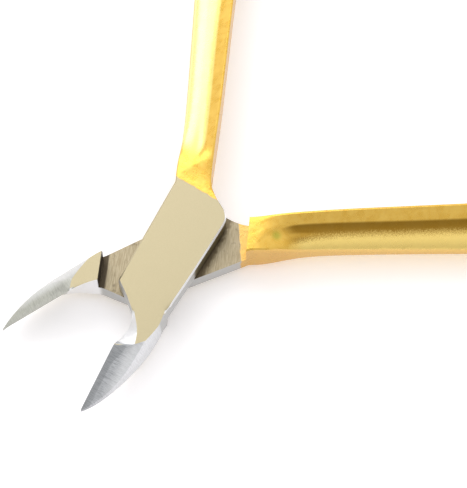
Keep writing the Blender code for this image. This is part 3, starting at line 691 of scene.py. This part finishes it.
# --- materials ---
class Finish:
    """A metal material and the few node steps that build it."""

    def __init__(self, name):
        self.material = bpy.data.materials.new(name)
        self.material.use_nodes = True
        self.tree = self.material.node_tree
        self.shader = self.tree.nodes["Principled BSDF"]
        self.shader.inputs["Metallic"].default_value = 1.0
        self.place = self.tree.nodes.new("ShaderNodeTexCoord")

    def put(self, socket, value):
        if isinstance(value, bpy.types.NodeSocket):
            self.tree.links.new(value, socket)
        elif isinstance(value, tuple) and len(value) == 3 and len(socket.default_value) == 4:
            socket.default_value = (*value, 1.0)
        else:
            socket.default_value = value

    def turned_back(self, vector, centre, name):
        """The half's closed frame, for a place or a direction of the open one."""
        node = self.tree.nodes.new("ShaderNodeVectorRotate")
        node.rotation_type = "Z_AXIS"
        self.put(node.inputs["Vector"], vector)
        node.inputs["Center"].default_value = centre
        node.inputs["Angle"].default_value = -math.radians(OPEN_HALF_ANGLE) * side_sign(name)
        return self.vector("SUBTRACT", node.outputs[0], centre)

    def math(self, operation, *values):
        node = self.tree.nodes.new("ShaderNodeMath")
        node.operation = operation
        for socket, value in zip(node.inputs, values):
            self.put(socket, value)
        return node.outputs[0]

    def vector(self, operation, *values):
        node = self.tree.nodes.new("ShaderNodeVectorMath")
        node.operation = operation
        for socket, value in zip(node.inputs, values):
            self.put(socket, value)
        return node.outputs["Value" if operation == "DISTANCE" else "Vector"]

    def separate(self, vector):
        node = self.tree.nodes.new("ShaderNodeSeparateXYZ")
        self.put(node.inputs[0], vector)
        return node.outputs[0], node.outputs[1], node.outputs[2]

    def dot(self, a, b):
        node = self.tree.nodes.new("ShaderNodeVectorMath")
        node.operation = "DOT_PRODUCT"
        self.put(node.inputs[0], a)
        self.put(node.inputs[1], b)
        return node.outputs["Value"]

    def join(self, x, y, z):
        node = self.tree.nodes.new("ShaderNodeCombineXYZ")
        for socket, value in zip(node.inputs, (x, y, z)):
            self.put(socket, value)
        return node.outputs[0]

    def ramp(self, value, low, high, to_low=0.0, to_high=1.0):
        """Smooth step from to_low at low to to_high at high."""
        node = self.tree.nodes.new("ShaderNodeMapRange")
        node.interpolation_type = "SMOOTHSTEP"
        for socket, item in zip(node.inputs, (value, low, high, to_low, to_high)):
            self.put(socket, item)
        return node.outputs[0]

    def noise(self, vector, scale, detail=3.0, rough=0.55):
        node = self.tree.nodes.new("ShaderNodeTexNoise")
        self.put(node.inputs["Vector"], vector)
        node.inputs["Scale"].default_value = scale
        node.inputs["Detail"].default_value = detail
        node.inputs["Roughness"].default_value = rough
        return node.outputs[0]

    def colour(self, factor, a, b):
        node = self.tree.nodes.new("ShaderNodeMix")
        node.data_type = "RGBA"
        self.put(node.inputs["Factor"], factor)
        self.put(node.inputs[6], a)
        self.put(node.inputs[7], b)
        return node.outputs[2]

    def number(self, factor, a, b):
        return self.math("ADD", self.math("MULTIPLY", factor, self.math("SUBTRACT", b, a)), a)

    def bump(self, height, distance):
        node = self.tree.nodes.new("ShaderNodeBump")
        node.inputs["Strength"].default_value = 1.0
        node.inputs["Distance"].default_value = distance
        self.put(node.inputs["Height"], height)
        return node.outputs[0]

    def use(self, colour, roughness, normal):
        self.put(self.shader.inputs["Base Color"], colour)
        self.put(self.shader.inputs["Roughness"], roughness)
        self.put(self.shader.inputs["Normal"], normal)
        return self.material


GOLD = (0.90, 0.58, 0.12)
GOLD_DEEP = (0.82, 0.49, 0.08)
GOLD_PALE = (0.96, 0.74, 0.28)
# darker gold of the painted shade on the plating's sides and on its recess floor
GOLD_PAINTED_SHADE = (0.68, 0.43, 0.15)
# flute colours per half, under the ridge and at the foot: painted light on the upper half, painted shade on
# the lower
FLUTE_TOP_PAINTED_LIGHT = {"upper": (0.98, 0.88, 0.30), "lower": (0.22, 0.105, 0.006)}
FLUTE_FOOT_PAINTED_LIGHT = {"upper": (1.0, 0.96, 0.42), "lower": (0.98, 0.74, 0.24)}
SATIN = (0.48, 0.415, 0.265)
SATIN_PALE = (0.55, 0.48, 0.31)
# grind-line steel, light and dark lines; the different tones of the two halves are painted light
GROUND_LIT_PER_HALF = {"upper": (0.56, 0.57, 0.59), "lower": (0.46, 0.46, 0.41)}
GROUND_DARK_LIT_PER_HALF = {"upper": (0.27, 0.28, 0.29), "lower": (0.33, 0.33, 0.29)}
# share of painted shade on the narrow bevel, per half
BEVEL_SHADE = {"upper": 0.45, "lower": 0.1}
# near-white of the painted highlights on the broken edge, the jaw's outer side and the throat
PAINTED_HIGHLIGHT = (0.93, 0.93, 0.94)
SIDE_GREY = (0.52, 0.52, 0.51)
# dark olive of the painted shade on the upper half's sides over the recess
SIDE_PAINTED_SHADE = (0.20, 0.17, 0.10)
RECESS = (0.34, 0.28, 0.18)
RECESS_PALE = (0.50, 0.43, 0.30)
# dark brown of the floor's stains and of the painted shade at the jaw's wall
STAIN_AND_SHADE = (0.06, 0.045, 0.03)
# small greenish patch on the lower half's neck, and its centre
GREEN_PATCH = (0.28, 0.36, 0.04)
GREEN_PATCH_PLACE = (-3.5, 11.8, 1.9)
# dark colour of the painted shadow that the upper plate casts on the lower half's floor, and its line
PAINTED_SHADOW = (0.11, 0.08, 0.045)
PAINTED_SHADOW_LINE = (1.22, 8.28, 1.21)     # under the crossing plate's edge: through this X and Y, slope
GOLD_LINE = {"upper": (8.38, -0.1), "lower": (8.75, 0.41)}   # where the plating starts: y on X = 0, slope
RECESS_FLOOR_Z = {"upper": JOINT_GAP / 2, "lower": -JOINT_GAP / 2}
HALF_BUMP = 0.00003
STEEL_BUMP = 0.00001


class HalfFinish(Finish):
    """Gold plating over the handle; satin joint, cross-ground jaw and dark recess left bare, with painted
    highlights, shade and shadows on them.
    """

    def __init__(self, name):
        super().__init__(name + "_half_metal")
        self.name = name
        self.sign = side_sign(name)
        pivot = (0, PIVOT_Y * MM, PIVOT_Z * MM)
        place = self.turned_back(self.place.outputs["Object"], pivot, name)
        self.mm = self.vector("MULTIPLY", place, (self.sign / MM, 1 / MM, 1 / MM))
        self.x, self.y, self.z = self.separate(self.mm)
        self.facing = self.turned_back(self.place.outputs["Normal"], (0, 0, 0), name)
        mirrored = self.vector("MULTIPLY", self.facing, (self.sign, 1.0, 1.0))
        self.normal_x, _, normal_z = self.separate(mirrored)
        self.level = self.math("ABSOLUTE", normal_z)
        self.side = self.ramp(self.level, 0.6, 0.4)
        self.fine = self.noise(self.mm, 9.0, 4.0)
        self.broad = self.noise(self.mm, 0.9, 3.0)
        self.grain = self.noise(self.mm, 22.0, 2.0, 0.7)
        self.lines = self.noise(self.vector("MULTIPLY", self.mm, (1.2, 16.0, 1.2)), 1.0, 4.0, 0.7)
        self.line_y = self.math("SUBTRACT", self.y, self.math("MULTIPLY", self.x, WALL_SLOPE))
        self.on_jaw = self.both(self.ramp(self.y, -8.7, -9.2), self.ramp(self.level, 0.998, 0.985))
        self.on_floor = self.floor_share()
        self.milling = self.milled_lines()

    def both(self, a, b):
        return self.math("MULTIPLY", a, b)

    def floor_share(self):
        """One on the recess floor, up to its wall at the jaw."""
        height = self.math("ABSOLUTE", self.math("SUBTRACT", self.z, RECESS_FLOOR_Z[self.name]))
        floor = self.both(self.ramp(height, 0.03, 0.01), self.ramp(self.level, 0.8, 0.95))
        return self.both(floor, self.ramp(self.line_y, JAW_WALL_Y - 0.1, JAW_WALL_Y))

    def milled_lines(self):
        """Cutter lines that run along the recess walls."""
        along = self.math("ADD", self.x, self.math("MULTIPLY", self.y, WALL_SLOPE))
        stretched = self.join(self.both(along, 0.5), self.both(self.line_y, 7.0), 0.0)
        return self.noise(stretched, 1.0, 4.0, 0.65)

    def satin(self):
        """Satin faces with a painted highlight along the broken edge, darker sides, and painted shade on the
        upper half's sides over the recess.
        """
        satin = self.colour(self.ramp(self.grain, 0.3, 0.7), SATIN, SATIN_PALE)
        # painted highlight along the broken edge, on the +X side
        edge_highlight = self.both(self.ramp(self.level, 0.93, 0.85), self.ramp(self.level, 0.5, 0.6))
        steel = self.colour(self.both(edge_highlight, self.ramp(self.x, -1.0, 1.0)), satin, PAINTED_HIGHLIGHT)
        # painted shade on the upper half's sides over the recess
        shade_over_recess = self.ramp(self.y, -1.4, -0.8) if self.name == "upper" else 0.0
        return self.colour(self.side, steel, self.colour(shade_over_recess, SIDE_GREY, SIDE_PAINTED_SHADE))

    def jaw(self, steel):
        """Fine lines ground across the jaw, on every face that is not the flat root, in tones per half that
        are painted light; painted shade on the narrow bevel and painted highlights towards the outer side and
        on the throat.
        """
        ground = self.colour(self.ramp(self.lines, 0.30, 0.62), GROUND_DARK_LIT_PER_HALF[self.name], GROUND_LIT_PER_HALF[self.name])
        # painted shade on the narrow bevel along the cutting edge
        bevel_line = self.ramp(self.y, -15.5, -13.0, 0.72, 1.4)
        past_bevel = self.math("SUBTRACT", self.x, bevel_line)
        bevel = self.ramp(past_bevel, 0.04, -0.04, 0.0, BEVEL_SHADE[self.name])
        ground = self.colour(bevel, ground, GROUND_DARK_LIT_PER_HALF["upper"])
        # painted highlight towards the jaw's outer side
        ground = self.colour(self.ramp(self.x, 1.0, 2.4, 0.0, 0.5), ground, PAINTED_HIGHLIGHT)
        steel = self.colour(self.on_jaw, steel, ground)
        # painted highlight on the throat's bevel
        throat = self.both(self.ramp(self.normal_x, -0.15, -0.3), self.ramp(self.y, -12.9, -12.5))
        return self.colour(self.both(self.on_jaw, throat), steel, PAINTED_HIGHLIGHT)

    def recess(self, steel):
        """Milled floor with stains, and painted shade, near black, on the wall at the jaw and on the floor
        next to it.
        """
        floor_colour = self.colour(self.ramp(self.milling, 0.35, 0.7), RECESS, RECESS_PALE)
        stain = self.ramp(self.noise(self.mm, 1.1, 4.0, 0.65), 0.55, 0.75, 0.0, 0.5)
        floor_colour = self.colour(stain, floor_colour, STAIN_AND_SHADE)
        steel = self.colour(self.on_floor, steel, floor_colour)
        # painted shade on the jaw's wall and on the floor within about a millimetre of it
        from_wall = self.math("ABSOLUTE", self.math("SUBTRACT", self.line_y, JAW_WALL_Y))
        wall_facing = (-0.51 * self.sign, 0.86, 0.0)
        on_wall = self.ramp(self.dot(self.facing, wall_facing), 0.7, 0.85)
        floor_or_wall = self.math("MAXIMUM", self.on_floor, on_wall)
        wall_shade = self.both(self.ramp(from_wall, 0.95, 0.7), floor_or_wall)
        return self.colour(self.both(wall_shade, 0.9), steel, STAIN_AND_SHADE)

    def painted_plate_shadow(self, steel):
        """Painted shadow on the lower half's floor, along the open position of the plate above it."""
        line_x, line_start, slope = PAINTED_SHADOW_LINE
        height = self.math("SUBTRACT", self.y, line_start - line_x * slope)
        beyond = self.math("SUBTRACT", height, self.math("MULTIPLY", self.x, slope))
        ragged = self.math("ADD", beyond, self.both(self.noise(self.mm, 1.6, 4.0), 1.6))
        share = self.both(self.ramp(ragged, 1.4, 0.5, 0.0, 0.75), self.ramp(self.y, -1.0, 1.5))
        return self.colour(self.both(share, self.on_floor), steel, PAINTED_SHADOW)

    def plated_share(self):
        """One on the handle's side of the plating's slightly wandering edge."""
        start_y, slope = GOLD_LINE[self.name]
        wander = self.both(self.math("SUBTRACT", self.noise(self.mm, 1.1, 2.0), 0.5), 0.5)
        start = self.math("ADD", self.math("MULTIPLY", self.x, slope), start_y)
        return self.ramp(self.math("SUBTRACT", self.y, self.math("ADD", start, wander)), -0.1, 0.1)

    def gold(self):
        """Plating, with painted light and shade in the flute, and painted shade at the sides and on the
        recess floor.
        """
        gold = self.colour(self.ramp(self.broad, 0.3, 0.72), GOLD_DEEP, GOLD)
        gold = self.colour(self.ramp(self.fine, 0.45, 0.8, 0.0, 0.25), gold, GOLD_PALE)
        # painted light and shade in the flute, darker under the ridge and lighter towards the foot
        in_flute = self.both(self.ramp(self.normal_x, -0.08, -0.2), self.ramp(self.z, 2.2, 2.0))
        speckle = self.both(self.math("SUBTRACT", self.fine, 0.5), 0.45)
        depth = self.ramp(self.math("ADD", self.z, speckle), 1.68, 1.40)
        flute_light_and_shade = self.colour(depth, FLUTE_TOP_PAINTED_LIGHT[self.name], FLUTE_FOOT_PAINTED_LIGHT[self.name])
        gold = self.colour(self.both(in_flute, self.ramp(self.y, 11.8, 14.5, 0.0, 0.85)), gold, flute_light_and_shade)
        # painted shade on the plating's sides and on its recess floor
        gold = self.colour(self.both(self.side, 0.8), gold, GOLD_PAINTED_SHADE)
        gold = self.colour(self.both(self.on_floor, 0.7), gold, GOLD_PAINTED_SHADE)
        if self.name == "lower":
            # greenish patch round a point on the lower half's neck
            from_spot = self.vector("DISTANCE", self.mm, GREEN_PATCH_PLACE)
            gold = self.colour(self.ramp(from_spot, 0.9, 0.1, 0.0, 0.6), gold, GREEN_PATCH)
        return gold

    def relief(self, plated):
        """Height of grind lines, grain, milling and the plating's soft dimples."""
        bare = self.number(self.on_jaw, self.both(self.grain, 0.35), self.lines)
        dimples = self.math("ADD", self.both(self.noise(self.mm, 1.7, 2.0), 0.9), self.both(self.fine, 0.15))
        height = self.number(plated, bare, dimples)
        bare_floor = self.both(self.on_floor, self.math("SUBTRACT", 1.0, plated))
        return self.bump(self.number(bare_floor, height, self.milling), HALF_BUMP)


def half_finish(name):
    f = HalfFinish(name)
    steel = f.recess(f.jaw(f.satin()))
    if name == "lower":
        # painted shadow of the upper plate on the lower half's floor
        steel = f.painted_plate_shadow(steel)
    plated = f.plated_share()
    rough_steel = f.number(f.on_jaw, 0.42, 0.30)
    rough_gold = f.ramp(f.broad, 0.3, 0.7, 0.24, 0.34)
    roughness = f.number(plated, rough_steel, rough_gold)
    return f.use(f.colour(plated, steel, f.gold()), roughness, f.relief(plated))


def steel_finish(name, base, dark, roughness, stretch):
    """Plain steel with fine drawn or turned lines."""
    f = Finish(name)
    mm = f.vector("MULTIPLY", f.place.outputs["Object"], (1 / MM, 1 / MM, 1 / MM))
    lines = f.noise(f.vector("MULTIPLY", mm, stretch), 1.0, 4.0, 0.65)
    patches = f.noise(mm, 1.3, 3.0)
    colour = f.colour(f.ramp(lines, 0.35, 0.7), dark, base)
    colour = f.colour(f.ramp(patches, 0.55, 0.75, 0.0, 0.3), colour, dark)
    rough = f.ramp(patches, 0.3, 0.7, roughness, roughness + 0.12)
    return f.use(colour, rough, f.bump(lines, STEEL_BUMP))


# plain steels: colour, dark colour, roughness, and how tightly the lines lie along X, Y and Z
RIVET_STEEL = ((0.7, 0.68, 0.64), (0.45, 0.43, 0.4), 0.28, (3.0, 3.0, 8.0))
LEAF_STEEL = ((0.62, 0.62, 0.62), (0.4, 0.4, 0.41), 0.26, (0.7, 0.7, 14.0))
PIN_STEEL = ((0.7, 0.66, 0.56), (0.42, 0.4, 0.35), 0.3, (6.0, 6.0, 1.0))


# --- floor, light and camera ---
CAMERA_PLACE = Vector((59.9, -77.8, 158.9)) * MM
CAMERA_TARGET = Vector((3.73, -20.22, 3.0)) * MM
CAMERA_ROLL = math.radians(-2.0)
CAMERA_LENS = 115.6
FLOOR_SIZE = 2.0
FLOOR_DROP = 0.0001             # below Z = 0
FLOOR_COLOUR = (0.93, 0.92, 0.93, 1)
FLOOR_TINT = (1, 0.97, 0.98, 1)
FLOOR_GLOW = 0.3                # light that the floor gives off itself
KEY_PLACE = (-0.30, 0.10, 0.30)
KEY_TARGET = (0, -0.02, 0)
KEY_SIZE = 0.35
KEY_POWER = 0.5
WORLD_BRIGHT_SIDE = (-0.85, 0.35, 0.38)
WORLD_RISE = (-0.8, 0.75)       # towards the bright side, where the brightness starts and stops rising
WORLD_DIM = 0.68
WORLD_BRIGHT = 1.0


def add_camera():
    data = bpy.data.cameras.new("camera")
    data.sensor_fit = "HORIZONTAL"
    data.sensor_width = 36.0
    data.lens = CAMERA_LENS
    data.clip_start = 0.01
    item = bpy.data.objects.new("camera", data)
    bpy.context.scene.collection.objects.link(item)
    back = (CAMERA_PLACE - CAMERA_TARGET).normalized()
    right = Vector((0, 0, 1)).cross(back).normalized()
    up = back.cross(right)
    turned_up = up * math.cos(CAMERA_ROLL) + right * math.sin(CAMERA_ROLL)
    turned_right = turned_up.cross(back)
    rotation = Matrix((turned_right, turned_up, back)).transposed().to_4x4()
    item.matrix_world = Matrix.Translation(CAMERA_PLACE) @ rotation
    bpy.context.scene.camera = item


def add_floor():
    bpy.ops.mesh.primitive_plane_add(size=FLOOR_SIZE, location=(0, 0, -FLOOR_DROP))
    floor = bpy.context.object
    floor.name = "floor"
    material = bpy.data.materials.new("floor")
    material.use_nodes = True
    shader = material.node_tree.nodes["Principled BSDF"]
    shader.inputs["Base Color"].default_value = FLOOR_COLOUR
    shader.inputs["Roughness"].default_value = 0.9
    shader.inputs["Specular IOR Level"].default_value = 0.1
    shader.inputs["Emission Color"].default_value = FLOOR_TINT
    shader.inputs["Emission Strength"].default_value = FLOOR_GLOW
    floor.data.materials.append(material)


def add_light(name, place, target, size, power):
    data = bpy.data.lights.new(name, "AREA")
    data.shape = "SQUARE"
    data.size = size
    data.energy = power
    item = bpy.data.objects.new(name, data)
    bpy.context.scene.collection.objects.link(item)
    direction = Vector(target) - Vector(place)
    item.matrix_world = Matrix.Translation(place) @ direction.to_track_quat("-Z", "Y").to_matrix().to_4x4()


def add_world():
    """White all round, brighter on the left and dimmer on the right."""
    world = bpy.data.worlds.new("world")
    world.use_nodes = True
    tree = world.node_tree
    place = tree.nodes.new("ShaderNodeTexCoord")
    side = tree.nodes.new("ShaderNodeVectorMath")
    side.operation = "DOT_PRODUCT"
    side.inputs[1].default_value = WORLD_BRIGHT_SIDE
    tree.links.new(place.outputs["Generated"], side.inputs[0])
    ramp = tree.nodes.new("ShaderNodeMapRange")
    ramp.interpolation_type = "SMOOTHSTEP"
    for socket, value in zip(ramp.inputs[1:], (*WORLD_RISE, WORLD_DIM, WORLD_BRIGHT)):
        socket.default_value = value
    tree.links.new(side.outputs["Value"], ramp.inputs[0])
    tree.links.new(ramp.outputs[0], tree.nodes["Background"].inputs["Strength"])
    tree.nodes["Background"].inputs["Color"].default_value = (1, 1, 1, 1)
    bpy.context.scene.world = world


for half_name in ("upper", "lower"):
    forged_half(half_name, half_finish(half_name))
    rivet_steel = steel_finish("rivet_steel_" + half_name, *RIVET_STEEL)
    rivet(half_name, rivet_steel)
    leaf_steel = steel_finish("leaf_steel_" + half_name, *LEAF_STEEL)
    leaf(half_name, leaf_steel)
pivot_pin(steel_finish("pin_steel", *PIN_STEEL))

bpy.context.scene.view_settings.view_transform = "Standard"
add_camera()
add_floor()
add_light("key", KEY_PLACE, KEY_TARGET, KEY_SIZE, KEY_POWER)
add_world()
